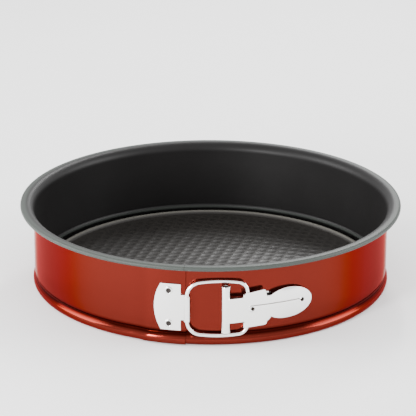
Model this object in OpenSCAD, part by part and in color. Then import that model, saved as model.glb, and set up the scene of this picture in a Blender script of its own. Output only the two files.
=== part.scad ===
// Springform baking pan. A sprung steel side band with a rolled rim closes round a
// loose base plate. A lever, a wire bail and two riveted brackets make the clamp.
// Millimetres, +Z up. The origin is the centre of the circle that the pan stands on,
// and the clamp is at the front, on the -Y side.

/* [Pan] */
// Inside diameter of the side band
inner_d = 260; // [230:1:300]
// Height from the table to the top of the rim
pan_h = 61.7; // [50:0.1:90]
// Thickness of the side band's sheet
band_t = 0.8; // [0.6:0.1:0.9]
// How far the rim stands out past the band's outer face
rim_out = 9.6; // [9:0.1:12]

/* [Lap] */
// Where the outer layer of the lap ends, to the left of the clamp's centre line
lap_edge_x = 17; // [15:0.5:20]
// Length of the lap round the band, in degrees
lap_angle = 10; // [9:0.5:12]
// Gap between the two layers of the lap
lap_gap = 0.3; // [0.2:0.05:0.5]

/* [Base] */
// Thickness of the base plate's sheet
base_t = 0.8; // [0.6:0.1:1]
// Height of the baking surface above the table
floor_z = 5.4; // [5:0.1:6]
// Height of the raised ring round the baking surface
ring_z = 7.6; // [7:0.1:8]

/* [Clamp] */
// Distance of the lever's pin to the right of the centre line
pin_x = 10.7; // [10:0.1:12]
// Distance of the pin's axis from the band's outer face
pin_off = 3.6; // [3.5:0.1:4]
// Height of the lever's middle above the table
lever_z = 28; // [27:0.5:30]
// Length of the lever, from the pin to its tip
lever_len = 59.8; // [56:0.1:62]
// Upward slope of the lever's paddle, in degrees
lever_rise = 2; // [0:0.5:3]
// Thickness of the lever's sheet
lever_t = 0.9; // [0.8:0.1:1]
// Diameter of the bail's wire
wire_d = 2.8; // [2.4:0.1:2.8]
// Distance of the bail's hinge to the left of the centre line
bail_x = 16; // [15.5:0.1:16.5]
// Distance of the bail's hooked leg to the right of the centre line
hook_x = 25.5; // [25:0.1:26]
// Greatest height of the bail, between the centres of its two long sides
bail_h = 40.4; // [40:0.1:40.6]
// Thickness of the bracket plates
plate_t = 0.8; // [0.7:0.1:0.9]

/* [Hidden] */

$fn = 96;
big = 400;
half_t = band_t / 2;
mid_r = inner_d / 2 + half_t;
wall_r = mid_r + half_t;
lap_step = band_t + lap_gap;
lap_r = wall_r + lap_step;

// the band's section: the round bead at its foot, the ridge above it, and the rim
bead_r = 3.6;
bead_x = -2.4;
bead_z = half_t + bead_r;
ridge_r = 2.3;
ridge_x = 1.4;
ridge_z = bead_z + 4.9;
foot_x = -3.4;
flare_r = 6;
roll_r = 1.2;
roll_x = rim_out - half_t - roll_r + half_t;
roll_z = pan_h - half_t - roll_r;
flare_z = pan_h - half_t - flare_r;

// the lap's ends, as angles round the pan with 0 at +X
lap_end_a = -90 - asin(lap_edge_x / lap_r);
lap_seam = 0.2;
lap_root_a = lap_end_a - lap_angle - 1;
root_angle = 1.5;

// the clamp's sizes and places
plate_gap = 0.05;
pin_r = 1.45;
run_gap = 0.05;
knuckle_r = 2.2;
head_r = 3.2;
head_h = 34.4;
tongue_h = 17.8;
knuckle_h = 16.4;
pin_y = -(sqrt(pow(wall_r, 2) - pow(pin_x, 2)) + pin_off);
wire_r = wire_d / 2;
curl_r = wire_r + run_gap + plate_t;
curl_h = 18.8;
bail_z = lever_z + 0.7;
bail_y = -(sqrt(pow(lap_r + plate_gap, 2) - pow(bail_x, 2)) + curl_r);
hook_r = wall_r + 2.8;
hook_y = -sqrt(pow(hook_r, 2) - pow(hook_x, 2));
bail_len = norm([hook_x + bail_x, hook_y - bail_y]);
bail_turn = atan2(hook_y - bail_y, hook_x + bail_x);

// the lever's curved sheet, which comes nearer to the band towards its tip
sheet_r = 159;
sheet_x = -15.6;
sheet_y = mid_r - 110.6;

// the rivets
rivet_r = 1.6;
rivet_head_r = 2.9;
hole_gap = 0.1;
bail_rivet_x = -28.5;
bail_rivet_dz = 12.2;
lever_rivet_x = 35.5;
lever_rivet_dz = 7;

// points along an arc
function arc(cx, cy, r, a0, a1, n = 8) =
    [for (i = [0 : n]) [cx + r * cos(a0 + (a1 - a0) * i / n), cy + r * sin(a0 + (a1 - a0) * i / n)]];

function reversed(list) = [for (i = [len(list) - 1 : -1 : 0]) list[i]];

// one face of the band's sheet from foot to flare, a distance off outside the middle
function face_foot(off) = concat(face_under(off), face_bead(off));

function face_under(off) = concat([[foot_x, bead_z - bead_r - off], [bead_x, bead_z - bead_r - off]],
    arc(bead_x, bead_z, bead_r + off, -72, -54, 1));

function face_bead(off) = arc(bead_x, bead_z, bead_r + off, -42, 48, 6);

function face_wall(off) = concat(
    arc(ridge_x, ridge_z, ridge_r - off, 229.6, 130.4, 6),
    [[off, ridge_z + ridge_r]],
    arc(flare_r, flare_z, flare_r - off, 180, 90, 6));

// part of the rolled rim's circle, as a number of 20 degree steps from its top
function roll(r, steps) = arc(roll_x, roll_z, r, 90, 90 - 20 * steps, steps);

// the strip's section with its rolled rim, which is cut away inside the lap
module band_section() {
    inside = concat(face_foot(-half_t), face_wall(-half_t), roll(roll_r + half_t, 13));
    outside = concat(face_foot(half_t), face_wall(half_t), roll(roll_r - half_t, 13));
    translate([mid_r, 0])
        polygon(concat(inside, reversed(outside)));
}

// the end that lies outside the lap, stepped out by the sheet and the gap
module lap_outer_section() {
    in_off = lap_step - half_t;
    out_off = lap_step + half_t;
    in_a = 180 - asin((flare_z + flare_r - in_off - roll_z) / (roll_r + half_t));
    out_a = 180 + asin((roll_z - flare_z - flare_r + out_off) / (roll_r - half_t));
    inside = concat(face_bead(in_off), face_wall(in_off),
        arc(roll_x, roll_z, roll_r + half_t, in_a, 130, 1), roll(roll_r + half_t, 10));
    outside = concat(face_bead(out_off), face_wall(out_off),
        arc(roll_x, roll_z, roll_r - half_t, out_a, 130, 3), roll(roll_r - half_t, 10));
    translate([mid_r, 0])
        polygon(concat(inside, reversed(outside)));
}

// solid through both layers, where the outer one steps out, a little inside their faces
module lap_root_section() {
    inset = 0.1;
    in_off = inset - half_t;
    out_off = lap_step + half_t - inset;
    inside = concat(face_bead(in_off), face_wall(in_off), roll(roll_r + half_t - inset, 13));
    outside = concat(face_bead(out_off), face_wall(out_off));
    translate([mid_r, 0])
        polygon(concat(inside, reversed(outside)));
}

// a section swept round the pan's axis from angle a0 to angle a1
module sweep(a0, a1) {
    rotate([0, 0, a0])
        rotate_extrude(angle = a1 - a0)
            children();
}

// a hole or a shank that points straight out of the pan, through the point [x, z]
module radial(x, z, r) {
    rotate([0, 0, -90 + asin(x / r)])
        translate([r, 0, z])
            rotate([0, 90, 0])
                children();
}

module side_band() {
    color("firebrick")
        difference() {
            union() {
                difference() {
                    sweep(lap_root_a + 1, lap_root_a - root_angle / 2 - 0.05 + 360)
                        band_section();
                    sweep(lap_root_a, lap_end_a + lap_seam)
                        translate([mid_r + flare_r + 0.1, flare_z + 1])
                            square(pan_h);
                }
                sweep(lap_root_a - root_angle, lap_root_a)
                    lap_root_section();
                sweep(lap_root_a - root_angle / 2, lap_end_a)
                    lap_outer_section();
            }
            for (side = [-1, 1])
                radial(bail_rivet_x, bail_z + side * bail_rivet_dz, lap_r)
                    translate([0, 0, -lap_gap / 2 - band_t])
                        cylinder(r = rivet_r + hole_gap, h = 2 * band_t, $fn = 32);
            for (side = [-1, 1])
                radial(lever_rivet_x, lever_z + side * lever_rivet_dz, wall_r)
                    cylinder(r = rivet_r + hole_gap, h = 4 * band_t, center = true, $fn = 32);
        }
}

// pressed steel disc: a rolled edge that sits in the band's bead, then a step up and
// a raised ring round the baking surface
module base_plate() {
    edge_r = mid_r - 1.5;
    edge_bead = 1.1;
    edge_z = 2.6;
    edge_a = asin(base_t / 2 / edge_bead);
    ring_r = edge_r - 4.6;
    floor_r = ring_r - 3;
    slant = base_t * 0.6;
    channel_top = edge_z + base_t / 2;
    color("dimgray")
        rotate_extrude($fn = 128)
            polygon(concat([[0, floor_z], [floor_r, floor_z], [ring_r - 1.2, ring_z - 0.3], [ring_r, ring_z],
                [ring_r + 1.1, ring_z - 0.4], [ring_r + 2.1, channel_top]],
                arc(edge_r, edge_z, edge_bead, 180 - edge_a, edge_a - 180, 16),
                [[ring_r + 2.1 - slant, channel_top - base_t], [ring_r + 1.1 - slant, ring_z - 0.4 - base_t],
                [ring_r, ring_z - base_t - 0.1], [ring_r - 1.2 + slant / 2, ring_z - 0.3 - base_t],
                [floor_r + slant / 2, floor_z - base_t], [0, floor_z - base_t]]));
}

// a shell round the pan's axis, cut to an outline that is drawn looking from the front
module front_cut(r, t, z0, z1) {
    intersection() {
        translate([0, 0, z0])
            difference() {
                cylinder(r = r + t, h = z1 - z0);
                translate([0, 0, -1])
                    cylinder(r = r, h = z1 - z0 + 2);
            }
        rotate([90, 0, 0])
            linear_extrude(height = big)
                children();
    }
}

// a plate with a bowed left edge, two rivets, and a tongue curled round the bail
module bail_bracket() {
    plate_h = 34.4;
    plate_left = -39;
    plate_right = -20.4;
    bow = 4.6;
    bow_r = (pow(plate_h / 2, 2) + pow(bow, 2)) / (2 * bow);
    color("gainsboro")
        difference() {
            union() {
                front_cut(lap_r + plate_gap, plate_t, bail_z - plate_h, bail_z + plate_h)
                    translate([0, bail_z]) {
                        intersection() {
                            translate([plate_left + bow_r, 0])
                                circle(r = bow_r);
                            translate([plate_left - 1, -plate_h / 2])
                                square([plate_right - plate_left + 1, plate_h]);
                        }
                        translate([plate_right - 1, -curl_h / 2])
                            square([1 - plate_right - bail_x, curl_h]);
                    }
                translate([-bail_x, bail_y, bail_z - curl_h / 2])
                    cylinder(r = curl_r, h = curl_h, $fn = 48);
            }
            translate([-bail_x, bail_y, bail_z - curl_h])
                cylinder(r = wire_r + run_gap, h = 2 * curl_h, $fn = 48);
            for (side = [-1, 1])
                radial(bail_rivet_x, bail_z + side * bail_rivet_dz, lap_r)
                    cylinder(r = rivet_r, h = 4 * plate_t, center = true, $fn = 32);
        }
}

// semi-tubular rivet: a low head with a hollow in it, and a shank through plate and band
module rivet(grip) {
    head_t = 0.7;
    hollow_r = 1.1;
    color("silver")
        difference() {
            union() {
                translate([0, 0, -grip])
                    cylinder(r = rivet_r, h = grip + head_t / 2, $fn = 32);
                rotate_extrude($fn = 48)
                    polygon([[0, 0], [rivet_head_r, 0], [rivet_head_r, 0.25], [rivet_head_r - 0.5, head_t],
                        [0, head_t]]);
            }
            translate([0, 0, -grip / 2])
                cylinder(r = hollow_r, h = grip, $fn = 32);
        }
}

module bail_rivet(side) {
    face_r = lap_r + plate_gap + plate_t;
    radial(bail_rivet_x, bail_z + side * bail_rivet_dz, lap_r)
        translate([0, 0, face_r - lap_r])
            rivet(plate_t + plate_gap + band_t);
}

module lever_rivet(side) {
    face_r = wall_r + plate_gap + plate_t;
    radial(lever_rivet_x, lever_z + side * lever_rivet_dz, wall_r)
        translate([0, 0, face_r - wall_r])
            rivet(plate_t + plate_gap + band_t);
}

module bail_bracket_rivet_upper() {
    bail_rivet(1);
}

module bail_bracket_rivet_lower() {
    bail_rivet(-1);
}

module lever_bracket_rivet_upper() {
    lever_rivet(1);
}

module lever_bracket_rivet_lower() {
    lever_rivet(-1);
}

// a closed loop of round wire: two straight legs, wide bends, and long sides that bow out
module bail() {
    left_bend = 10;
    right_bend = 7;
    bow_a = 8;
    half_h = bail_h / 2;
    bow_r = (bail_len - (left_bend + right_bend) * (1 - sin(bow_a))) / (2 * sin(bow_a));
    left_z = half_h - left_bend * cos(bow_a) - bow_r * (1 - cos(bow_a));
    right_z = left_z + (left_bend - right_bend) * cos(bow_a);
    color("gainsboro")
        translate([-bail_x, bail_y, bail_z])
            rotate([90, 0, bail_turn]) {
                wire([0, -left_z], 2 * left_z, 90);
                wire([bail_len, -right_z], 2 * right_z, 90);
                for (flip = [0, 1])
                    mirror([0, flip, 0]) {
                        bend([left_bend, left_z], left_bend, 90 + bow_a, 90 - bow_a);
                        bend([left_bend + (bow_r - left_bend) * sin(bow_a), half_h - bow_r], bow_r,
                            90 - bow_a, 2 * bow_a);
                        bend([bail_len - right_bend, right_z], right_bend, 0, 90 - bow_a);
                        drawn_joint([0, left_z]);
                        drawn_joint([left_bend * (1 - sin(bow_a)), left_z + left_bend * cos(bow_a)]);
                        drawn_joint([bail_len - right_bend * (1 - sin(bow_a)),
                            right_z + right_bend * cos(bow_a)]);
                        drawn_joint([bail_len, right_z]);
                    }
            }
}

module wire(p, length, turn) {
    translate([p[0], p[1], 0])
        rotate([0, 0, turn])
            rotate([0, 90, 0])
                cylinder(r = wire_r, h = length, $fn = 32);
}

// where the wire's curvature changes, 0.03 mm fuller than the wire
module drawn_joint(p) {
    translate([p[0], p[1], 0])
        sphere(r = wire_r + 0.03, $fn = 48);
}

module bend(p, r, a0, sweep_a) {
    translate([p[0], p[1], 0])
        rotate([0, 0, a0])
            rotate_extrude(angle = sweep_a, $fn = 64)
                translate([r, 0])
                    circle(r = wire_r, $fn = 32);
}

// the lever's outline from the front, with the pin at x = 0
module lever_outline() {
    tongue_end = 12.3;
    shoulder_end = 27.8;
    shoulder_h = 12.6;
    shoulder_top = 11.6;
    shoulder_low = 13.4;
    neck_h = 7.8;
    paddle_a = 16.6;
    paddle_b = 11.2;
    paddle_x = lever_len - paddle_a;
    neck_a = 180 - asin(neck_h / paddle_b);
    far_side = [[shoulder_end - 1.2, shoulder_h + 0.5], [shoulder_end, shoulder_h], [shoulder_end + 1, neck_h]];
    upper = concat([[tongue_end, tongue_h / 2], [tongue_end, shoulder_top]], far_side);
    lower = concat([[tongue_end, tongue_h / 2], [tongue_end, shoulder_low]], far_side);
    paddle = [for (i = [0 : 24]) let (a = neck_a - 2 * neck_a * i / 24)
        [paddle_x + paddle_a * cos(a), paddle_b * sin(a)]];
    polygon(concat([[0, tongue_h / 2]], upper, paddle, reversed([for (p = lower) [p[0], -p[1]]]),
        [[0, -tongue_h / 2]]));
}

// the long raised rib that stiffens the lever, wide at the shoulders
module rib_outline() {
    polygon(concat(arc(18.5, 0, 2.4, 100, 260, 6), arc(53, 0, 1.2, -80, 80, 6)));
}

module lever_sheet(r_out, t) {
    intersection() {
        translate([sheet_x, sheet_y, 0])
            difference() {
                cylinder(r = r_out, h = 2 * lever_z);
                translate([0, 0, -1])
                    cylinder(r = r_out - t, h = 2 * lever_z + 2);
            }
        translate([pin_x, 0, lever_z])
            rotate([90, 0, 0])
                rotate([0, 0, lever_rise])
                    linear_extrude(height = big)
                        children();
    }
}

// stamped and curled sheet: a wide hinge tube, a tongue, shoulders with two hooks
// beneath them for the bail, and a ribbed paddle
module lever() {
    hook_t = 0.9;
    hook_side = hook_x - wire_r - 0.2;
    hook_h = 3.4;
    color("gainsboro")
        union() {
            difference() {
                union() {
                    lever_sheet(sheet_r, lever_t)
                        lever_outline();
                    lever_sheet(sheet_r + 0.4, lever_t)
                        rib_outline();
                    translate([pin_x, pin_y, bail_z - head_h / 2])
                        cylinder(r = head_r, h = head_h, $fn = 64);
                }
                translate([pin_x, pin_y, 0])
                    cylinder(r = pin_r + run_gap, h = 2 * lever_z, $fn = 48);
                translate([pin_x, pin_y, lever_z - knuckle_h / 2 - 0.3])
                    knuckle_space();
            }
            for (side = [-1, 1])
                lever_hook(hook_side, hook_t, lever_z + side * (tongue_h / 2 + hook_h / 2 - 0.2), hook_h);
        }
}

// the room inside the hinge tube for the bracket's knuckle, open on the band's side
module knuckle_space() {
    space_r = knuckle_r + 0.2;
    space_h = knuckle_h + 0.6;
    cylinder(r = space_r, h = space_h, $fn = 64);
    translate([0, 0, 0.1])
        rotate([0, 0, 14])
            rotate_extrude(angle = 187, $fn = 64)
                square([head_r + 1, space_h - 0.2]);
}

// a lip under the sheet, on the side of the wire that the bail pulls towards
module lever_hook(x, t, z, h) {
    tip_y = hook_y - 0.6;
    intersection() {
        translate([x - t, tip_y - 6, z - h / 2])
            cube([t, 6, h]);
        translate([sheet_x, sheet_y, 0])
            cylinder(r = sheet_r - lever_t / 2, h = 2 * lever_z);
    }
}

module hinge_pin() {
    color("silver")
        translate([pin_x, pin_y, bail_z - head_h / 2 + 0.1])
            cylinder(r = pin_r, h = head_h - 0.2, $fn = 48);
}

// a plate under the lever, riveted to the band, with a knuckle that holds the pin
module lever_bracket() {
    neck_x = 30;
    plate_end = 42;
    plate_h = 22;
    neck_y = -pin_y - knuckle_r;
    foot_r = wall_r + plate_gap;
    foot_y = sqrt(pow(foot_r, 2) - pow(pin_x + 7.3, 2));
    color("lightgray")
        difference() {
            union() {
                front_cut(foot_r, plate_t, lever_z - plate_h, lever_z + plate_h)
                    translate([0, lever_z]) {
                        translate([pin_x + 6.8, -knuckle_h / 2])
                            square([neck_x - pin_x - 6, knuckle_h]);
                        polygon([[neck_x - 2, -knuckle_h / 2], [neck_x + 1, -plate_h / 2],
                            [plate_end - 2, -plate_h / 2], [plate_end, 2 - plate_h / 2],
                            [plate_end, plate_h / 2 - 2], [plate_end - 2, plate_h / 2],
                            [neck_x + 1, plate_h / 2], [neck_x - 2, knuckle_h / 2]]);
                    }
                translate([0, 0, lever_z - knuckle_h / 2])
                    linear_extrude(height = knuckle_h)
                        polygon([[pin_x, -neck_y], [pin_x + 1.5, -neck_y],
                            [pin_x + 7, -foot_y - 0.1], [pin_x + 7.8, -foot_y + 0.1], [pin_x + 8, -foot_y - plate_t],
                            [pin_x + 7, -foot_y - plate_t], [pin_x + 2, -neck_y - plate_t],
                            [pin_x, -neck_y - plate_t]]);
                translate([pin_x, pin_y, lever_z - knuckle_h / 2])
                    cylinder(r = knuckle_r, h = knuckle_h, $fn = 48);
            }
            translate([pin_x, pin_y, 0])
                cylinder(r = pin_r, h = 2 * lever_z, $fn = 48);
            for (side = [-1, 1])
                radial(lever_rivet_x, lever_z + side * lever_rivet_dz, wall_r)
                    cylinder(r = rivet_r, h = 4 * plate_t, center = true, $fn = 32);
        }
}

side_band();
base_plate();
bail_bracket();
bail_bracket_rivet_upper();
bail_bracket_rivet_lower();
bail();
lever();
hinge_pin();
lever_bracket();
lever_bracket_rivet_upper();
lever_bracket_rivet_lower();
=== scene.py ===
import math

import bmesh
import bpy
from mathutils import Matrix, Vector
from mathutils.geometry import delaunay_2d_cdt


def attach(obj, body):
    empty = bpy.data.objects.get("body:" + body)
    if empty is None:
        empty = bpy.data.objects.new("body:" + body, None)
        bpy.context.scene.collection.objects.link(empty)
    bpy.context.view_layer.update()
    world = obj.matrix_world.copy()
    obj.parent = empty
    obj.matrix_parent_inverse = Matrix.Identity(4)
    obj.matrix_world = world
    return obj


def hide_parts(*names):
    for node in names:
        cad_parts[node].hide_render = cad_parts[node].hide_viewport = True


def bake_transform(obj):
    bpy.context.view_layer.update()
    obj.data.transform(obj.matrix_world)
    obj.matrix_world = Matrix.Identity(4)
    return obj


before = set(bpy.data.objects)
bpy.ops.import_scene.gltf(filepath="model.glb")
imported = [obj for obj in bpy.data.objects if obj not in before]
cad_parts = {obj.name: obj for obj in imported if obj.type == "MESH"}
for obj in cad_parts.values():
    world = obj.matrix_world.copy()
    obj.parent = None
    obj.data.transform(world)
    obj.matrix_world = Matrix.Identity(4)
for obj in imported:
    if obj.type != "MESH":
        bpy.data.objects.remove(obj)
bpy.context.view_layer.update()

# ---------------------------------------------------------------------------
# Side band, lever side. The pan's wall is one strip of 0.8 mm tinplate, rolled
# into a hoop with a round bead at its foot and a flared rim curled over at the
# top. It is coated black inside, and the curl carries that coat to the outside.
# The inner end of the lap is trimmed below the rim, so that it slides under the
# other end. This piece is the half that stays with the lever bracket.
# ---------------------------------------------------------------------------
MM = 0.001
SHEET = 0.8
MIDDLE_R = 130.4
BEAD_X, BEAD_Z, BEAD_R = -2.4, 4.0, 3.6
FOOT_X = -3.4
GROOVE_X, GROOVE_Z, GROOVE_R = 1.4, 8.9, 2.3
FLARE_R, FLARE_Z = 6.0, 55.3
CURL_X, CURL_Z, CURL_R = 8.4, 60.1, 1.2
LAP_STEP = 1.1
LAP_END = 262.6
LAP_ROOT = 251.6
LAP_JOGGLE = 250.1
STEP_START = 246.0
STATION = 1.5
INNER_END = 252.6
RIM_SEAM = 0.08
RIM_Z = 62.0
BACK = 90.0


def arc(x, y, radius, start, end, steps):
    """Points along an arc, both ends included."""
    turns = [math.radians(start + (end - start) * k / steps) for k in range(steps + 1)]
    return [(x + radius * math.cos(t), y + radius * math.sin(t)) for t in turns]


def ease(t):
    """0 before t = 0 and 1 after t = 1, with a smooth rise between them."""
    t = min(max(t, 0.0), 1.0)
    return t * t * (3 - 2 * t)


FOOT_ROWS, BEAD_ROWS, GROOVE_ROWS, FLARE_ROWS, CURL_ROWS = 4, 16, 12, 14, 24
WALL_Z = (11.8, 20.0, 30.0, 40.0, 50.0, 54.6)
TRIM_ROW = FOOT_ROWS + BEAD_ROWS + 1 + GROOVE_ROWS + 1 + len(WALL_Z) + 3
RIM_ROW = FOOT_ROWS + BEAD_ROWS + 1 + GROOVE_ROWS + 1 + len(WALL_Z) + FLARE_ROWS // 2
PAINT_ROW = TRIM_ROW + 12


def band_section(side, step):
    """One face of the strip, from its foot to the end of its curl, at side mm outside
    the sheet's middle. step moves the wall outward over the lap, and not the rim."""
    off = side + step
    low = BEAD_Z - BEAD_R - side
    points = [(FOOT_X, low), (BEAD_X - 0.5, low)]
    points += arc(BEAD_X, BEAD_Z, BEAD_R + side, -90, -54, FOOT_ROWS - 3)
    points += arc(BEAD_X, BEAD_Z, BEAD_R + off, -42, 48, BEAD_ROWS)
    points += arc(GROOVE_X, GROOVE_Z, GROOVE_R - off, 229.6, 130.4, GROOVE_ROWS)
    points += [(off, z) for z in WALL_Z]
    for k in range(FLARE_ROWS + 1):
        turn = 180 - 90 * k / FLARE_ROWS
        bent = side + step * (1 - ease((180 - turn) / 80))
        points += arc(FLARE_R, FLARE_Z, FLARE_R - bent, turn, turn, 1)[:1]
    points += [((FLARE_R + CURL_X) / 2, FLARE_Z + FLARE_R - side)]
    points += arc(CURL_X, CURL_Z, CURL_R - side, 90, -170, CURL_ROWS)
    return points


def round_the_pan(section, angle):
    """A section's points, stood up at an angle round the pan's axis, in mm."""
    c, s = math.cos(math.radians(angle)), math.sin(math.radians(angle))
    return [((MIDDLE_R + x) * c, (MIDDLE_R + x) * s, z) for x, z in section]


def between(start, end, step):
    """Angles from start to end, with a narrow first and last step that keep the ends crisp."""
    count = max(1, round((end - start) / step))
    inner = [start + (end - start) * k / count for k in range(1, count)]
    return [start, start + 0.12] + inner + [end - 0.12, end]


def shaped(name, points, faces, slots, materials, sharp=38):
    """A mesh object from points in mm. Its normals face out, and edges over an angle are crisp."""
    mesh = bpy.data.meshes.new(name)
    mesh.from_pydata([[c * MM for c in p] for p in points], [], faces)
    for material in materials:
        mesh.materials.append(material)
    mesh.polygons.foreach_set("material_index", slots)
    work = bmesh.new()
    work.from_mesh(mesh)
    bmesh.ops.recalc_face_normals(work, faces=work.faces)
    work.to_mesh(mesh)
    work.free()
    mesh.polygons.foreach_set("use_smooth", [True] * len(mesh.polygons))
    mesh.set_sharp_from_angle(angle=math.radians(sharp))
    piece = bpy.data.objects.new(name, mesh)
    bpy.context.scene.collection.objects.link(piece)
    return piece


def formed_sheet(name, face, back, kept, paint, materials, sharp=38):
    """Sheet metal between two grids of points in mm. kept(i, j) says which cells there
    are, and paint(i, j, side) which material a face (0), back (1) or cut edge (2) has."""
    points, index, faces, slots = [], {}, [], []
    grids = (face, back)
    rows, cols = len(face) - 1, len(face[0]) - 1

    def corner(side, i, j):
        if (side, i, j) not in index:
            index[(side, i, j)] = len(points)
            points.append(grids[side][i][j])
        return index[(side, i, j)]

    for i in range(rows):
        for j in range(cols):
            if not kept(i, j):
                continue
            loop = [(i, j), (i + 1, j), (i + 1, j + 1), (i, j + 1)]
            faces.append([corner(0, *p) for p in loop])
            faces.append([corner(1, *p) for p in reversed(loop)])
            slots += [paint(i, j, 0), paint(i, j, 1)]
            sides = [(0, -1, 0, 1), (1, 0, 1, 2), (0, 1, 2, 3), (-1, 0, 3, 0)]
            for di, dj, a, b in sides:
                ni, nj = i + di, j + dj
                if 0 <= ni < rows and 0 <= nj < cols and kept(ni, nj):
                    continue
                p, q = loop[a], loop[b]
                faces.append([corner(0, *q), corner(0, *p), corner(1, *p), corner(1, *q)])
                slots.append(paint(i, j, 2))
    return shaped(name, points, faces, slots, materials, sharp)


def linear(hex_code):
    """An sRGB hex colour as the linear RGBA that the shaders take."""
    parts = [int(hex_code[k:k + 2], 16) / 255 for k in (1, 3, 5)]
    return [c / 12.92 if c <= 0.04045 else ((c + 0.055) / 1.055) ** 2.4 for c in parts] + [1.0]


def node(tree, kind, settings=None, **links):
    """Adds a node. settings are its properties and socket values by name, and links are
    its inputs by name, with _ for a space, each from a node's output socket."""
    made = tree.nodes.new(kind)
    for key, value in (settings or {}).items():
        if hasattr(made, key):
            setattr(made, key, value)
        else:
            made.inputs[key].default_value = value
    for key, source in links.items():
        tree.links.new(source, made.inputs[key.replace("_", " ")])
    return made


def new_material(name):
    """An empty node material, its tree and its output."""
    material = bpy.data.materials.new(name)
    material.use_nodes = True
    tree = material.node_tree
    tree.nodes.clear()
    return material, tree, tree.nodes.new("ShaderNodeOutputMaterial")


def share_by_height(tree, place, stops):
    """A share from 0 to 1 that follows height above the table, from (mm, share) stops."""
    height = node(tree, "ShaderNodeSeparateXYZ", Vector=place)
    level = node(tree, "ShaderNodeMapRange", {"From Max": RIM_Z * MM}, Value=height.outputs["Z"])
    ramp = node(tree, "ShaderNodeValToRGB", Fac=level.outputs["Result"])
    ramp.color_ramp.elements[-1].color = (0.0, 0.0, 0.0, 1.0)
    for z, share in stops:
        ramp.color_ramp.elements.new(z / RIM_Z).color = (share, share, share, 1.0)
    return ramp.outputs["Color"]


# Heat-cured red silicone lacquer with a metallic base, sprayed on the outside. Glossy, so
# that the clamp mirrors in it, with a faint orange peel about 2.5 mm wide and a slight
# drift in its red. Painted shade makes it darker in the groove over the bead.
red_lacquer, tree, output = new_material("red silicone lacquer, sprayed")
place = node(tree, "ShaderNodeTexCoord").outputs["Object"]
drift = node(tree, "ShaderNodeTexNoise", {"Scale": 14.0, "Detail": 2.0}, Vector=place)
reds = node(tree, "ShaderNodeMix", {"data_type": "RGBA"}, Factor=drift.outputs["Fac"])
reds.inputs["A"].default_value = linear("#5A1E18")
reds.inputs["B"].default_value = linear("#66241C")
# Painted shade: a darker red in the groove over the bead, from about 6 to 12 mm up.
groove_shade_share = share_by_height(tree, place, ((6.2, 0.0), (7.75, 1.0), (9.92, 1.0), (12.4, 0.0)))
groove_shaded_red = node(tree, "ShaderNodeMix", {"data_type": "RGBA"}, Factor=groove_shade_share)
tree.links.new(reds.outputs["Result"], groove_shaded_red.inputs["A"])
groove_shaded_red.inputs["B"].default_value = linear("#2A0503")
peel = node(tree, "ShaderNodeTexNoise", {"Scale": 400.0, "Detail": 1.0}, Vector=place)
dimple = node(tree, "ShaderNodeBump", {"Strength": 0.05, "Distance": 0.0002},
              Height=peel.outputs["Fac"])
paint_shader = node(tree, "ShaderNodeBsdfPrincipled",
                    {"Roughness": 0.15, "Metallic": 0.9, "Specular Tint": linear("#D8563A")},
                    Base_Color=groove_shaded_red.outputs["Result"], Normal=dimple.outputs["Normal"])
tree.links.new(paint_shader.outputs[0], output.inputs["Surface"])

# Black PTFE non-stick coat, sprayed over the inside and the curled rim. Satin, with a
# fine grain about 1 mm wide. A painted highlight turns it grey over the curl and on the
# ridge inside the groove.
nonstick_wall, tree, output = new_material("black non-stick coat, satin")
place = node(tree, "ShaderNodeTexCoord").outputs["Object"]
# Painted highlight: grey on the ridge inside the groove and over the curl.
ridge_highlight = share_by_height(tree, place, ((7.32, 0.0), (GROOVE_Z, 0.7), (10.48, 0.0)))
in_plan = node(tree, "ShaderNodeVectorMath", {"operation": "MULTIPLY"})
tree.links.new(place, in_plan.inputs[0])
in_plan.inputs[1].default_value = (1.0, 1.0, 0.0)
from_axis = node(tree, "ShaderNodeVectorMath", {"operation": "LENGTH"},
                 Vector=in_plan.outputs["Vector"])
curl = node(tree, "ShaderNodeMapRange",
            {"From Min": (MIDDLE_R + 4.8) * MM, "From Max": (MIDDLE_R + 7.1) * MM},
            Value=from_axis.outputs["Value"])
painted_highlight = node(tree, "ShaderNodeMath", {"operation": "MAXIMUM"})
tree.links.new(ridge_highlight, painted_highlight.inputs[0])
tree.links.new(curl.outputs["Result"], painted_highlight.inputs[1])
grain = node(tree, "ShaderNodeTexNoise", {"Scale": 900.0, "Detail": 3.0}, Vector=place)
cloud = node(tree, "ShaderNodeTexNoise", {"Scale": 30.0, "Detail": 3.0}, Vector=place)
coat = node(tree, "ShaderNodeMix", {"data_type": "RGBA"}, Factor=cloud.outputs["Fac"])
coat.inputs["A"].default_value = linear("#0F0E0E")
coat.inputs["B"].default_value = linear("#161515")
coat_with_highlight = node(tree, "ShaderNodeMix", {"data_type": "RGBA"}, Factor=painted_highlight.outputs["Value"])
tree.links.new(coat.outputs["Result"], coat_with_highlight.inputs["A"])
coat_with_highlight.inputs["B"].default_value = linear("#3A3E3B")
speck = node(tree, "ShaderNodeBump", {"Strength": 0.25, "Distance": 0.0002},
             Height=grain.outputs["Fac"])
wall_shader = node(tree, "ShaderNodeBsdfPrincipled",
                   {"Roughness": 0.46, "IOR": 1.38, "Specular IOR Level": 0.26},
                   Base_Color=coat_with_highlight.outputs["Result"], Normal=speck.outputs["Normal"])
tree.links.new(wall_shader.outputs[0], output.inputs["Surface"])

lever_side_angles = between(INNER_END - 360, LAP_END - 360 + RIM_SEAM, STATION)
rim_start = len(lever_side_angles) - 1
lever_side_angles += between(LAP_END - 360 + RIM_SEAM, BACK, STATION)[1:]
band_lever_side = formed_sheet(
    "band_lever_side",
    [round_the_pan(band_section(-SHEET / 2, 0), a) for a in lever_side_angles],
    [round_the_pan(band_section(SHEET / 2, 0), a) for a in lever_side_angles],
    lambda i, j: i >= rim_start or j < TRIM_ROW,
    lambda i, j, side: 1 if side == 1 and j < PAINT_ROW else 0,
    [nonstick_wall, red_lacquer])
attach(band_lever_side, "ring")
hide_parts("side_band")
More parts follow.
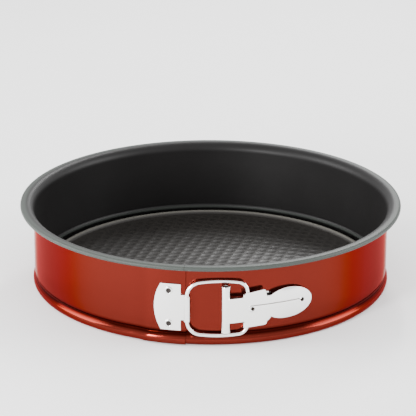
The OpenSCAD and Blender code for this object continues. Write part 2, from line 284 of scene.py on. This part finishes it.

# ---------------------------------------------------------------------------
# Side band, bail side. The same strip from the back of the pan round its left
# side, to the outer end of the lap. A joggle steps it out over the inner end.
# It springs open as the clamp lets go.
# ---------------------------------------------------------------------------
bail_side_angles = between(BACK, LAP_JOGGLE, STATION)
foot_end = len(bail_side_angles) - 1
bail_side_angles += [LAP_JOGGLE + (LAP_ROOT - LAP_JOGGLE) * k / 6 for k in range(1, 6)]
bail_side_angles += between(LAP_ROOT, LAP_END, STATION)
steps = [LAP_STEP * ease((a - STEP_START) / (LAP_ROOT - STEP_START)) for a in bail_side_angles]
band_bail_side = formed_sheet(
    "band_bail_side",
    [round_the_pan(band_section(-SHEET / 2, s), a) for s, a in zip(steps, bail_side_angles)],
    [round_the_pan(band_section(SHEET / 2, s), a) for s, a in zip(steps, bail_side_angles)],
    lambda i, j: i < foot_end or j > FOOT_ROWS,
    lambda i, j, side: 1 if side == 1 and j < PAINT_ROW or side == 2 and j < RIM_ROW else 0,
    [nonstick_wall, red_lacquer])
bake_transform(band_bail_side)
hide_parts("side_band")

# ---------------------------------------------------------------------------
# Base plate. A loose steel disc, pressed with a waffle of shallow square pits
# 7.7 mm apart, a raised ring round it, and a rolled edge that seats inside the
# band's bead. It is coated like the wall, and shows greyer where it catches light.
# ---------------------------------------------------------------------------
PIT_PITCH = 7.7
PIT_TURN = -15.7
PIT_DEPTH = 0.18
PIT_LINES = (0.0, 0.9, 1.9, 3.85, 5.8, 6.8)
FLOOR_Z = 5.4
FLOOR_R = 121.3
CREST_R = 124.3
CREST_Z = 7.6
EDGE_R, EDGE_Z, EDGE_ROLL = 128.9, 2.6, 1.1
WAFFLE_R = 117.6
ROUND = 360


def on_circle(radius, z):
    """Points at one radius and height, all the way round."""
    turns = [2 * math.pi * k / ROUND for k in range(ROUND)]
    return [(radius * math.cos(t), radius * math.sin(t), z) for t in turns]


def pit(t):
    """How far a place along one direction lies from a raised line, from 0 on it to 1."""
    away = abs(t - PIT_PITCH * round(t / PIT_PITCH))
    return ease((away - 0.9) / 1.0)


def floor_height(u, v, radius):
    """The baking surface's height at a place in the waffle's own directions."""
    fade = 1 - ease((radius - WAFFLE_R + 2.5) / 2.5)
    return FLOOR_Z - PIT_DEPTH * fade * min(pit(u), pit(v))


turn = math.radians(PIT_TURN)
lines = [PIT_PITCH * n + t for n in range(-16, 16) for t in PIT_LINES]
flat, heights = [], []
for u in lines:
    for v in lines:
        radius = math.hypot(u, v)
        if radius < WAFFLE_R:
            flat.append(Vector((u * math.cos(turn) - v * math.sin(turn),
                                u * math.sin(turn) + v * math.cos(turn))))
            heights.append(floor_height(u, v, radius))
for radius in (WAFFLE_R + 1.0, WAFFLE_R + 2.3, FLOOR_R):
    flat += [Vector((x, y)) for x, y, _ in on_circle(radius, FLOOR_Z)]
    heights += [FLOOR_Z] * ROUND
places, _, triangles, origins, _, _ = delaunay_2d_cdt(flat, [], [], 0, 1e-6)
heights = [heights[o[0]] for o in origins]
count = len(places)
edge_first = count - ROUND
points = [(p.x, p.y, z) for p, z in zip(places, heights)]
points += [(p.x, p.y, z - SHEET) for p, z in zip(places, heights)]
faces = [list(t) for t in triangles] + [[count + k for k in reversed(t)] for t in triangles]
roll_start = math.degrees(math.asin(SHEET / 2 / EDGE_ROLL))
brim = [(FLOOR_R + 0.5, FLOOR_Z + 0.12), (FLOOR_R + 1.1, FLOOR_Z + 0.75)]
brim += [(CREST_R - 1.2, CREST_Z - 0.45), (CREST_R - 0.6, CREST_Z - 0.1), (CREST_R, CREST_Z)]
brim += [(CREST_R + 0.6, CREST_Z - 0.12), (CREST_R + 1.1, CREST_Z - 0.5)]
brim += [(CREST_R + 1.6, CREST_Z - 2.6), (CREST_R + 2.1, EDGE_Z + 0.5)]
brim += [(CREST_R + 2.6, EDGE_Z + SHEET / 2)]
brim += arc(EDGE_R, EDGE_Z, EDGE_ROLL, 180 - roll_start, roll_start - 180, 20)
brim += [(CREST_R + 2.1, EDGE_Z - SHEET / 2), (CREST_R + 1.5, EDGE_Z - SHEET / 2 + 0.2)]
brim += [(CREST_R + 0.9, CREST_Z - 2.8), (CREST_R + 0.4, CREST_Z - 1.2), (CREST_R, CREST_Z - 0.9)]
brim += [(CREST_R - 0.6, CREST_Z - 1.0), (FLOOR_R + 1.3, FLOOR_Z - 0.2)]
brim += [(FLOOR_R + 0.6, FLOOR_Z - 0.65)]
rings = [[edge_first + k for k in range(ROUND)]]
for radius, z in brim:
    rings.append([len(points) + k for k in range(ROUND)])
    points += on_circle(radius, z)
rings.append([count + edge_first + k for k in range(ROUND)])
for ring, following in zip(rings, rings[1:]):
    for k in range(ROUND):
        n = (k + 1) % ROUND
        faces.append([ring[k], ring[n], following[n], following[k]])

# The same PTFE coat on the pressed disc, a little greyer. A painted highlight makes it paler
# on the raised ring and on the waffle's raised lines, darker in the pits, and it is satin enough to
# carry a soft streak of light.
nonstick_base, tree, output = new_material("black non-stick coat, rubbed")
place = node(tree, "ShaderNodeTexCoord").outputs["Object"]
height = node(tree, "ShaderNodeSeparateXYZ", Vector=place)
# Painted highlight on the waffle's raised lines and on the raised ring; the pits stay darker.
line_highlight = node(tree, "ShaderNodeMapRange",
                {"From Min": (FLOOR_Z - 0.5) * MM, "From Max": FLOOR_Z * MM},
                Value=height.outputs["Z"])
ring_highlight = node(tree, "ShaderNodeMapRange",
               {"From Min": (CREST_Z - 1.4) * MM, "From Max": (CREST_Z - 0.1) * MM},
               Value=height.outputs["Z"])
grain = node(tree, "ShaderNodeTexNoise", {"Scale": 900.0, "Detail": 3.0}, Vector=place)
low = node(tree, "ShaderNodeMix", {"data_type": "RGBA"}, Factor=line_highlight.outputs["Result"])
low.inputs["A"].default_value = linear("#131211")
low.inputs["B"].default_value = linear("#242220")
with_highlights = node(tree, "ShaderNodeMix", {"data_type": "RGBA"}, Factor=ring_highlight.outputs["Result"])
tree.links.new(low.outputs["Result"], with_highlights.inputs["A"])
with_highlights.inputs["B"].default_value = linear("#5A5853")
speck = node(tree, "ShaderNodeBump", {"Strength": 0.25, "Distance": 0.0002},
             Height=grain.outputs["Fac"])
base_shader = node(tree, "ShaderNodeBsdfPrincipled",
                   {"Roughness": 0.4, "IOR": 1.38, "Specular IOR Level": 0.3},
                   Base_Color=with_highlights.outputs["Result"], Normal=speck.outputs["Normal"])
tree.links.new(base_shader.outputs[0], output.inputs["Surface"])

base = shaped("waffle_base", points, faces, [0] * len(faces), [nonstick_base])
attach(base, "base")
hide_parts("base_plate")

# ---------------------------------------------------------------------------
# Lever bracket. A stamped steel plate under the lever, riveted to the band, with
# a knuckle that grips the hinge pin. Plain nickel plate, softened at its edges.
# ---------------------------------------------------------------------------
# Bright nickel plate on pressed steel, barrel polished. It mirrors the white room, with
# faint polishing lines about 0.4 mm apart that spread its highlights.
PLATE_WHITE = "#F8F8F6"
nickel_plate, tree, output = new_material("nickel plate, polished")
place = node(tree, "ShaderNodeTexCoord").outputs["Object"]
along = node(tree, "ShaderNodeMapping", {"Scale": (0.25, 1.0, 1.0)}, Vector=place)
polish = node(tree, "ShaderNodeTexNoise", {"Scale": 2400.0, "Detail": 2.0},
              Vector=along.outputs["Vector"])
smear = node(tree, "ShaderNodeTexNoise", {"Scale": 60.0, "Detail": 2.0}, Vector=place)
gloss = node(tree, "ShaderNodeMapRange", {"To Min": 0.1, "To Max": 0.24},
             Value=smear.outputs["Fac"])
fine = node(tree, "ShaderNodeBump", {"Strength": 0.04, "Distance": 0.0001},
            Height=polish.outputs["Fac"])
plate_shader = node(tree, "ShaderNodeBsdfPrincipled",
                    {"Base Color": linear(PLATE_WHITE), "Metallic": 1.0},
                    Roughness=gloss.outputs["Result"], Normal=fine.outputs["Normal"])
tree.links.new(plate_shader.outputs[0], output.inputs["Surface"])


def soften(piece, width):
    """Rounds a piece's cut edges by a width in mm, as tumbling leaves them."""
    bevel = piece.modifiers.new("tumbled edges", "BEVEL")
    bevel.width = width * MM
    bevel.segments = 2
    bevel.limit_method = "ANGLE"
    bevel.angle_limit = math.radians(40)
    bevel.harden_normals = True


def replate(name, material, width):
    """A CAD piece with its real finish and its edges softened."""
    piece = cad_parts[name]
    piece.data.materials.clear()
    piece.data.materials.append(material)
    soften(piece, width)


replate("lever_bracket", nickel_plate, 0.12)

# ---------------------------------------------------------------------------
# Hinge pin. A drawn steel pin through the bracket's knuckle. Only its two ends
# show, in the open ends of the lever's tube.
# ---------------------------------------------------------------------------
# Drawn mild steel, unplated. Greyer and duller than the plated pieces round it.
pin_steel, tree, output = new_material("drawn steel, bare")
place = node(tree, "ShaderNodeTexCoord").outputs["Object"]
dull = node(tree, "ShaderNodeTexNoise", {"Scale": 700.0, "Detail": 2.0}, Vector=place)
greys = node(tree, "ShaderNodeMix", {"data_type": "RGBA"}, Factor=dull.outputs["Fac"])
greys.inputs["A"].default_value = linear("#8B8C8D")
greys.inputs["B"].default_value = linear("#A6A7A8")
pin_shader = node(tree, "ShaderNodeBsdfPrincipled", {"Metallic": 1.0, "Roughness": 0.35},
                  Base_Color=greys.outputs["Result"])
tree.links.new(pin_shader.outputs[0], output.inputs["Surface"])
replate("hinge_pin", pin_steel, 0.2)

# ---------------------------------------------------------------------------
# Lever. One stamping of 0.9 mm steel. Its tongue is rolled into a wide tube on
# the pin, its shoulders carry two hooks for the bail, and its paddle is a thumb
# tab, stiffened by a long tapered rib with a punch mark at each end.
# ---------------------------------------------------------------------------
PIN_X, PIN_Y = 10.7, -133.962
LEVER_Z, CLAMP_Z = 28.0, 28.7
TUBE_R, TUBE_BORE, TUBE_H = 3.2, 1.52, 34.4
LEVER_R, LEVER_T = 159.0, 0.9
LEVER_CX, LEVER_CY = -15.6, 19.8
LEVER_RISE = math.radians(2)
TONGUE_END, SHOULDER_END, TIP = 12.3, 27.8, 59.8
TONGUE_H, NECK_H = 8.9, 7.8
SHOULDER_TOP, SHOULDER_LOW, SHOULDER_FAR = 11.6, 13.4, 13.1
SHOULDER_STEP, SHOULDER_ROUND = 0.35, 1.2
SHOULDER_EDGE = SHOULDER_FAR - 0.5
PADDLE_A, PADDLE_B, PADDLE_START = 16.6, 11.2, 32.0
PADDLE_BEND = 0.9
RIB_START, RIB_END = 18.5, 53.0
RIB_WIDE, RIB_NARROW, RIB_RISE = 2.4, 1.2, 0.7
PUNCH_R, PUNCH_DEPTH = 1.8, 0.45


def half_height(s, lowered):
    """The lever's height above or below its middle line at s mm from the pin. The shoulders
    reach lower than they reach up."""
    if s <= TONGUE_END:
        return TONGUE_H
    if s <= SHOULDER_END:
        rise = ease((s - TONGUE_END) / SHOULDER_STEP)
        near = SHOULDER_LOW if lowered else SHOULDER_TOP
        share = (s - TONGUE_END) / (SHOULDER_END - SHOULDER_ROUND - TONGUE_END)
        shoulder = near + (SHOULDER_FAR - near) * min(share, 1.0)
        rounding = ease((s - SHOULDER_END + SHOULDER_ROUND) / SHOULDER_ROUND)
        return TONGUE_H + (shoulder - TONGUE_H) * rise - (SHOULDER_FAR - SHOULDER_EDGE) * rounding
    across = (s - TIP + PADDLE_A) / PADDLE_A
    paddle = PADDLE_B * math.sqrt(max(1 - across * across, 0.0))
    neck = NECK_H + (SHOULDER_EDGE - NECK_H) * (1 - ease(s - SHOULDER_END))
    return max(neck, paddle) if s < PADDLE_START else paddle


def lever_point(s, v, out):
    """A point of the lever, s mm along it, v mm up and out mm in front of its face."""
    x = PIN_X + s * math.cos(LEVER_RISE) - v * math.sin(LEVER_RISE)
    z = LEVER_Z + s * math.sin(LEVER_RISE) + v * math.cos(LEVER_RISE)
    radius = LEVER_R + out
    return (x, LEVER_CY - math.sqrt(radius ** 2 - (x - LEVER_CX) ** 2), z)


def lever_relief(s, v):
    """How far the pressed shape stands in front of the plain curved sheet."""
    share = min(max((s - RIB_START) / (RIB_END - RIB_START), 0.0), 1.0)
    width = RIB_WIDE + (RIB_NARROW - RIB_WIDE) * share
    beyond = max(RIB_START - s, s - RIB_END, 0.0)
    away = math.hypot(beyond, v) if beyond > 0 else abs(v)
    rib = RIB_RISE * (1 - ease((away - width + 0.25) / 0.5))
    punch = min(math.hypot(s - RIB_START, v), math.hypot(s - RIB_END, v))
    mark = (PUNCH_DEPTH + RIB_RISE) * (1 - ease((punch - 0.35) / (PUNCH_R - 0.35)))
    turned_back = PADDLE_BEND * ease((s - 30) / 12) * (v / PADDLE_B) ** 4
    return rib - mark - turned_back


def lever_columns():
    """Places along the lever, closer together where its outline or its relief turns."""
    fixed = [0.0, 3.0, 6.0, 9.0]
    fixed += [TONGUE_END, TONGUE_END + 0.12, TONGUE_END + 0.24, TONGUE_END + 0.36, 14.0, 15.0]
    fixed += [15.5 + 0.35 * k for k in range(16)]
    fixed += [21.5 + 0.7 * k for k in range(8)]
    fixed += [SHOULDER_END - 1.2, SHOULDER_END - 0.8, SHOULDER_END - 0.4, SHOULDER_END]
    fixed += [SHOULDER_END + 0.25, SHOULDER_END + 0.5, SHOULDER_END + 0.75, SHOULDER_END + 1.0]
    fixed += [29.5 + 0.75 * k for k in range(28)]
    fixed += [50.5 + 0.35 * k for k in range(16)]
    tip = [TIP - PADDLE_A * (1 - math.cos(math.radians(2.5 * k))) for k in range(22, 0, -1)]
    kept = sorted(fixed + [t for t in tip if t > 56.0])
    return [s for n, s in enumerate(kept) if n == 0 or s - kept[n - 1] > 0.02] + [TIP - 0.002]


def lever_rows(s):
    """Heights across the lever at s mm from the pin: cut edge, flat, rib and punch marks."""
    share = min(max((s - RIB_START) / (RIB_END - RIB_START), 0.0), 1.0)
    width = RIB_WIDE + (RIB_NARROW - RIB_WIDE) * share
    sides = []
    for lowered in (True, False):
        half = max(half_height(s, lowered), 0.12)
        rib = [0.0, 0.25 * width, 0.5 * width, 0.72 * width, width - 0.2, width, width + 0.3]
        if half < width + 2.0:
            rib = [half * k / 12 for k in range(7)]
        sides.append(rib + [rib[-1] + (half - rib[-1]) * k / 7 for k in range(1, 8)])
    return [-v for v in reversed(sides[0])] + sides[1][1:]


def joined(name, shells, materials):
    """One mesh object from several closed shells, each a (points, faces) pair in mm."""
    points, faces = [], []
    for shell_points, shell_faces in shells:
        faces += [[len(points) + k for k in f] for f in shell_faces]
        points += shell_points
    return shaped(name, points, faces, [0] * len(faces), materials)


def sheet_shell(face, back):
    """The closed shell between two grids of points."""
    rows, cols = len(face), len(face[0])
    points = [p for row in face for p in row] + [p for row in back for p in row]
    half = rows * cols
    faces = []
    for i in range(rows - 1):
        for j in range(cols - 1):
            a, b, c, d = i * cols + j, (i + 1) * cols + j, (i + 1) * cols + j + 1, i * cols + j + 1
            faces += [[a, b, c, d], [half + d, half + c, half + b, half + a]]
    rim = [j for j in range(cols)] + [i * cols + cols - 1 for i in range(1, rows)]
    rim += [(rows - 1) * cols + j for j in range(cols - 2, -1, -1)]
    rim += [i * cols for i in range(rows - 2, 0, -1)]
    for a, b in zip(rim, rim[1:] + rim[:1]):
        faces.append([a, b, half + b, half + a])
    return points, faces


def turned_shell(profile, steps):
    """A closed ring turned round the Z axis from a closed profile of (radius, z) points.
    Points on the axis become one point each."""
    points, faces, rings = [], [], []
    for radius, z in profile:
        if radius < 1e-6:
            rings.append([len(points)] * steps)
            points.append((0.0, 0.0, z))
            continue
        rings.append([len(points) + k for k in range(steps)])
        turns = [2 * math.pi * k / steps for k in range(steps)]
        points += [(radius * math.cos(t), radius * math.sin(t), z) for t in turns]
    for ring, following in zip(rings, rings[1:] + rings[:1]):
        for k in range(steps):
            n = (k + 1) % steps
            corners = [ring[k], ring[n], following[n], following[k]]
            loop = [c for m, c in enumerate(corners) if c not in corners[:m]]
            if len(loop) > 2:
                faces.append(loop)
    return points, faces


def placed(shell, matrix):
    """A shell moved by a matrix in mm."""
    return [tuple(matrix @ Vector(p)) for p in shell[0]], shell[1]


columns = lever_columns()
face = [[lever_point(s, v, lever_relief(s, v)) for v in lever_rows(s)] for s in columns]
back = [[lever_point(s, v, lever_relief(s, v) - LEVER_T) for v in lever_rows(s)] for s in columns]
CORNER = 0.35
tube = arc(TUBE_R - CORNER, TUBE_H / 2 - CORNER, CORNER, 0, 90, 4)
tube += arc(TUBE_BORE + CORNER, TUBE_H / 2 - CORNER, CORNER, 90, 180, 4)
tube += arc(TUBE_BORE + CORNER, CORNER - TUBE_H / 2, CORNER, 180, 270, 4)
tube += arc(TUBE_R - CORNER, CORNER - TUBE_H / 2, CORNER, 270, 360, 4)
shells = [sheet_shell(face, back),
          placed(turned_shell(tube, 56), Matrix.Translation((PIN_X, PIN_Y, CLAMP_Z)))]
HOOK_X, HOOK_T, HOOK_OFF, HOOK_HALF = 23.9, 0.9, 10.4, 1.7
HOOK_ROOT_Y, HOOK_TIP_Y = -136.2, -131.743
for side in (-1, 1):
    middle = LEVER_Z + side * HOOK_OFF
    rows = []
    for k in range(9):
        y = HOOK_ROOT_Y + (HOOK_TIP_Y - HOOK_ROOT_Y) * k / 8
        half = HOOK_HALF - 0.9 * ease((k - 5) / 3)
        rows.append([(y, middle - half), (y, middle), (y, middle + half)])
    shells.append(sheet_shell([[(HOOK_X - HOOK_T, y, z) for y, z in row] for row in rows],
                              [[(HOOK_X, y, z) for y, z in row] for row in rows]))

# The same nickel plate, with painted shade in the bottom of the two punch marks, a dark
# steel colour, so that they read as two dark dots at the ends of the rib.
punched_plate = nickel_plate.copy()
punched_plate.name = "nickel plate, punched"
tree = punched_plate.node_tree
place = tree.nodes["Texture Coordinate"].outputs["Object"]
closest = node(tree, "ShaderNodeMath", {"operation": "MINIMUM"})
for n, s in enumerate((RIB_START, RIB_END)):
    away = node(tree, "ShaderNodeVectorMath", {"operation": "DISTANCE"})
    tree.links.new(place, away.inputs[0])
    away.inputs[1].default_value = Vector(lever_point(s, 0, -PUNCH_DEPTH)) * MM
    tree.links.new(away.outputs["Value"], closest.inputs[n])
# Painted shade in the bottom of each punch mark.
punch_shade = node(tree, "ShaderNodeMapRange",
            {"From Min": (PUNCH_R - 0.3) * MM, "From Max": PUNCH_R * MM, "To Min": 1.0, "To Max": 0.0},
            Value=closest.outputs["Value"])
shade = node(tree, "ShaderNodeMix", {"data_type": "RGBA"}, Factor=punch_shade.outputs["Result"])
shade.inputs["A"].default_value = linear(PLATE_WHITE)
shade.inputs["B"].default_value = linear("#2A2421")
tree.links.new(shade.outputs["Result"], tree.nodes["Principled BSDF"].inputs["Base Color"])
lever = joined("thumb_lever", shells, [punched_plate])
soften(lever, 0.16)
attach(lever, "lever")
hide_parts("lever")

# ---------------------------------------------------------------------------
# Bail bracket. A stamped plate with a bowed free edge, riveted to the outer end
# of the lap, with a narrower tongue curled round the bail as its hinge.
# ---------------------------------------------------------------------------
PLATE_T = 0.8
PLATE_IN_R = 131.95
PLATE_H = 17.2
TONGUE_HALF = 9.4
PLATE_LEFT, PLATE_RIGHT, BOW = -39.0, -20.4, 4.6
BAIL_X, BAIL_Y = -16.0, -133.226
CURL_IN = 1.45


def bracket_path(z, out):
    """The plate seen from above at a height, from its bowed edge into the curl."""
    bow_r = (PLATE_H ** 2 + BOW ** 2) / (2 * BOW)
    left = PLATE_LEFT + bow_r - math.sqrt(bow_r ** 2 - z ** 2)
    radius = PLATE_IN_R + out
    flat_part = [left + (PLATE_RIGHT - left) * k / 14 for k in range(15)]
    flat_part += [PLATE_RIGHT + (BAIL_X - PLATE_RIGHT) * k / 6 for k in range(1, 6)]
    path = [(x, -math.sqrt(radius ** 2 - x ** 2)) for x in flat_part]
    return path + arc(BAIL_X, BAIL_Y, CURL_IN + PLATE_T - out, 97, -165, 30)


heights = [-PLATE_H, -16.6, -14.5, -12.0, -TONGUE_HALF, -6.0, -3.0, 0.0]
heights += [-z for z in reversed(heights[:-1])]
face = [[(x, y, CLAMP_Z + z) for x, y in bracket_path(z, PLATE_T)] for z in heights]
back = [[(x, y, CLAMP_Z + z) for x, y in bracket_path(z, 0.0)] for z in heights]
bail_bracket = formed_sheet(
    "bail_plate", face, back,
    lambda i, j: j < 14 or abs(heights[i] + heights[i + 1]) / 2 < TONGUE_HALF,
    lambda i, j, side: 0, [nickel_plate])
soften(bail_bracket, 0.16)
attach(bail_bracket, "ring_end")
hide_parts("bail_bracket")

# ---------------------------------------------------------------------------
# Bail. A closed loop of 2.8 mm round wire, straight in the bracket's curl. Its long
# sides bow out a little, and it is bent wider on the left than at the hooked leg.
# ---------------------------------------------------------------------------
WIRE_R = 1.4
HOOK_LEG_X, HOOK_LEG_Y = 25.5, -131.143
BAIL_HALF = 20.2
LEFT_BEND, RIGHT_BEND, BOW_ANGLE = 10.0, 7.0, 8.0
length = math.hypot(HOOK_LEG_X - BAIL_X, HOOK_LEG_Y - BAIL_Y)
swing = math.atan2(HOOK_LEG_Y - BAIL_Y, HOOK_LEG_X - BAIL_X)
bow_sin, bow_cos = math.sin(math.radians(BOW_ANGLE)), math.cos(math.radians(BOW_ANGLE))
bow_r = (length - (LEFT_BEND + RIGHT_BEND) * (1 - bow_sin)) / (2 * bow_sin)
left_z = BAIL_HALF - LEFT_BEND * bow_cos - bow_r * (1 - bow_cos)
right_z = left_z + (LEFT_BEND - RIGHT_BEND) * bow_cos
bow_x = LEFT_BEND * (1 - bow_sin) + bow_r * bow_sin
upper = arc(length - RIGHT_BEND, right_z, RIGHT_BEND, 0, 90 - BOW_ANGLE, 14)
upper += arc(bow_x, BAIL_HALF - bow_r, bow_r, 90 - BOW_ANGLE, 90 + BOW_ANGLE, 10)[1:]
upper += arc(LEFT_BEND, left_z, LEFT_BEND, 90 + BOW_ANGLE, 180, 14)[1:]
loop = upper + [(0, 0)] + [(s, -z) for s, z in reversed(upper)] + [(length, 0)]
points, faces = [], []
around = 20
outward = Vector((math.sin(swing), -math.cos(swing), 0))
for n, (s, z) in enumerate(loop):
    before, after = loop[n - 1], loop[(n + 1) % len(loop)]
    run = Vector((after[0] - before[0], after[1] - before[1])).normalized()
    centre = Vector((BAIL_X + s * math.cos(swing), BAIL_Y + s * math.sin(swing), CLAMP_Z + z))
    across = Vector((-run.y * math.cos(swing), -run.y * math.sin(swing), run.x))
    for k in range(around):
        t = 2 * math.pi * k / around
        points.append(tuple(centre + (across * math.cos(t) + outward * math.sin(t)) * WIRE_R))
for n in range(len(loop)):
    m = (n + 1) % len(loop)
    for k in range(around):
        j = (k + 1) % around
        faces.append([n * around + k, n * around + j, m * around + j, m * around + k])
bail = shaped("wire_bail", points, faces, [0] * len(faces), [nickel_plate])
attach(bail, "bail")
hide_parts("bail")

# ---------------------------------------------------------------------------
# Rivets. Semi-tubular steel rivets, two through each bracket and the band, with
# a low rounded head and a hollow, painted nearly black as shade, that reads as a dark spot.
# ---------------------------------------------------------------------------
RIVET_R, HEAD_R, HEAD_T, HOLLOW_R = 1.6, 2.9, 0.7, 1.85
GRIP = 1.65
rivet_profile = [(0.0, -GRIP), (RIVET_R - 0.2, -GRIP), (RIVET_R, 0.2 - GRIP), (RIVET_R, 0.0)]
rivet_profile += [(HEAD_R, 0.0), (HEAD_R, 0.2)] + arc(HEAD_R - 0.5, 0.2, 0.5, 20, 90, 4)
rivet_profile += arc(HOLLOW_R + 0.25, HEAD_T - 0.25, 0.25, 90, 180, 4)
rivet_profile += [(HOLLOW_R - 0.1, 0.25), (HOLLOW_R - 0.4, 0.12), (0.0, 0.08)]

# Painted shade for the rivets' hollows: steel painted nearly black, and dull.
hollow_shade_steel, tree, output = new_material("raw steel, shade_painted")
place = node(tree, "ShaderNodeTexCoord").outputs["Object"]
hollow_mottle = node(tree, "ShaderNodeTexNoise", {"Scale": 900.0, "Detail": 2.0}, Vector=place)
hollow_shades = node(tree, "ShaderNodeMix", {"data_type": "RGBA"}, Factor=hollow_mottle.outputs["Fac"])
hollow_shades.inputs["A"].default_value = linear("#1A1614")
hollow_shades.inputs["B"].default_value = linear("#2E2623")
raw_shader = node(tree, "ShaderNodeBsdfPrincipled", {"Metallic": 0.6, "Roughness": 0.6},
                  Base_Color=hollow_shades.outputs["Result"])
tree.links.new(raw_shader.outputs[0], output.inputs["Surface"])


def rivet(name, body, x, z, plate_r):
    """A rivet that points straight out of the pan, its head on the face of a plate whose
    inner face lies plate_r from the pan's axis."""
    radius = plate_r + PLATE_T
    y = -math.sqrt(plate_r ** 2 - x ** 2)
    out = Vector((x, y, 0)).normalized()
    across = Vector((-out.y, out.x, 0))
    turned = Matrix((across, out.cross(across), out)).transposed()
    matrix = Matrix.Translation(out * radius + Vector((0, 0, z))) @ turned.to_4x4()
    piece = joined(name + "_turned", [placed(turned_shell(rivet_profile, 36), matrix)],
                   [nickel_plate, hollow_shade_steel])
    back_to_axis = matrix.inverted()
    for panel in piece.data.polygons:
        spot = back_to_axis @ (panel.center / MM)
        if 0.1 - GRIP < spot.z < HEAD_T - 0.2 and math.hypot(spot.x, spot.y) < HOLLOW_R:
            # The hollow's faces take the painted shade.
            panel.material_index = 1
    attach(piece, body)
    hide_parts(name)


LEVER_PLATE_IN_R = 130.85
rivet_pairs = [("bail_bracket_rivet", "ring_end", -28.5, CLAMP_Z, 12.2, PLATE_IN_R),
               ("lever_bracket_rivet", "ring", 35.5, LEVER_Z, 7.0, LEVER_PLATE_IN_R)]
for name, body, x, middle, apart, plate_r in rivet_pairs:
    rivet(name + "_upper", body, x, middle + apart, plate_r)
    rivet(name + "_lower", body, x, middle - apart, plate_r)

# ---------------------------------------------------------------------------
# Studio. A pale matt table in a white room. Large soft lamps at both sides make
# the glossy lacquer brighter towards its edges, a smaller one in front draws the
# streak on the bead, and a narrow one behind skims the base.
# ---------------------------------------------------------------------------
# Matt white laminate. Even and pale, so that only a faint shadow shows on it.
table_top, tree, output = new_material("white laminate, matt")
place = node(tree, "ShaderNodeTexCoord").outputs["Object"]
faint = node(tree, "ShaderNodeTexNoise", {"Scale": 6.0}, Vector=place)
whites = node(tree, "ShaderNodeMix", {"data_type": "RGBA"}, Factor=faint.outputs["Fac"])
whites.inputs["A"].default_value = linear("#F6F6F6")
whites.inputs["B"].default_value = linear("#FAFAFA")
table_shader = node(tree, "ShaderNodeBsdfPrincipled", {"Roughness": 0.7},
                    Base_Color=whites.outputs["Result"])
tree.links.new(table_shader.outputs[0], output.inputs["Surface"])
table_size = 6000.0
table = shaped("studio_table",
               [(-table_size, -table_size, 0), (table_size, -table_size, 0),
                (table_size, table_size, 0), (-table_size, table_size, 0)],
               [[0, 1, 2, 3]], [0], [table_top])

world = bpy.data.worlds.new("white room")
world.use_nodes = True
world.node_tree.nodes["Background"].inputs["Color"].default_value = (1.0, 1.0, 1.0, 1.0)
world.node_tree.nodes["Background"].inputs["Strength"].default_value = 1.6
bpy.context.scene.world = world


def lamp(name, place, target, width, height, watts):
    """A soft rectangular lamp, in metres, that faces a target."""
    light = bpy.data.lights.new(name, "AREA")
    light.shape = "RECTANGLE"
    light.size, light.size_y, light.energy = width, height, watts
    holder = bpy.data.objects.new(name, light)
    holder.location = place
    holder.rotation_euler = (Vector(target) - Vector(place)).to_track_quat("-Z", "Y").to_euler()
    bpy.context.scene.collection.objects.link(holder)


lamp("lamp_front_left", (-0.92, -1.18, 0.4), (0, 0, 0.03), 0.3, 0.5, 36)
lamp("lamp_left", (-1.4, 0.0, 0.6), (0, 0, 0.03), 0.9, 0.8, 32)
lamp("lamp_right", (1.4, -0.1, 0.6), (0, 0, 0.03), 0.9, 0.8, 26)
lamp("lamp_back", (0.16, 0.9, 0.72), (0.04, 0.0, 0.005), 0.06, 0.4, 6)

# The camera looks down at 20 degrees on the front of the pan, from 1.7 metres away.
camera_data = bpy.data.cameras.new("camera")
camera_data.sensor_width = 36.0
camera_data.lens = 193.94
camera_data.clip_start, camera_data.clip_end = 0.05, 50.0
camera = bpy.data.objects.new("camera", camera_data)
camera.location = (0.0, -1.56045, 0.61981)
aim = Matrix.Rotation(math.radians(0.0694), 4, "Z")
aim = aim @ Matrix.Rotation(math.radians(70.08), 4, "X")
aim = aim @ Matrix.Rotation(0.0028, 4, "Z")
camera.rotation_euler = aim.to_euler()
bpy.context.scene.collection.objects.link(camera)
bpy.context.scene.camera = camera
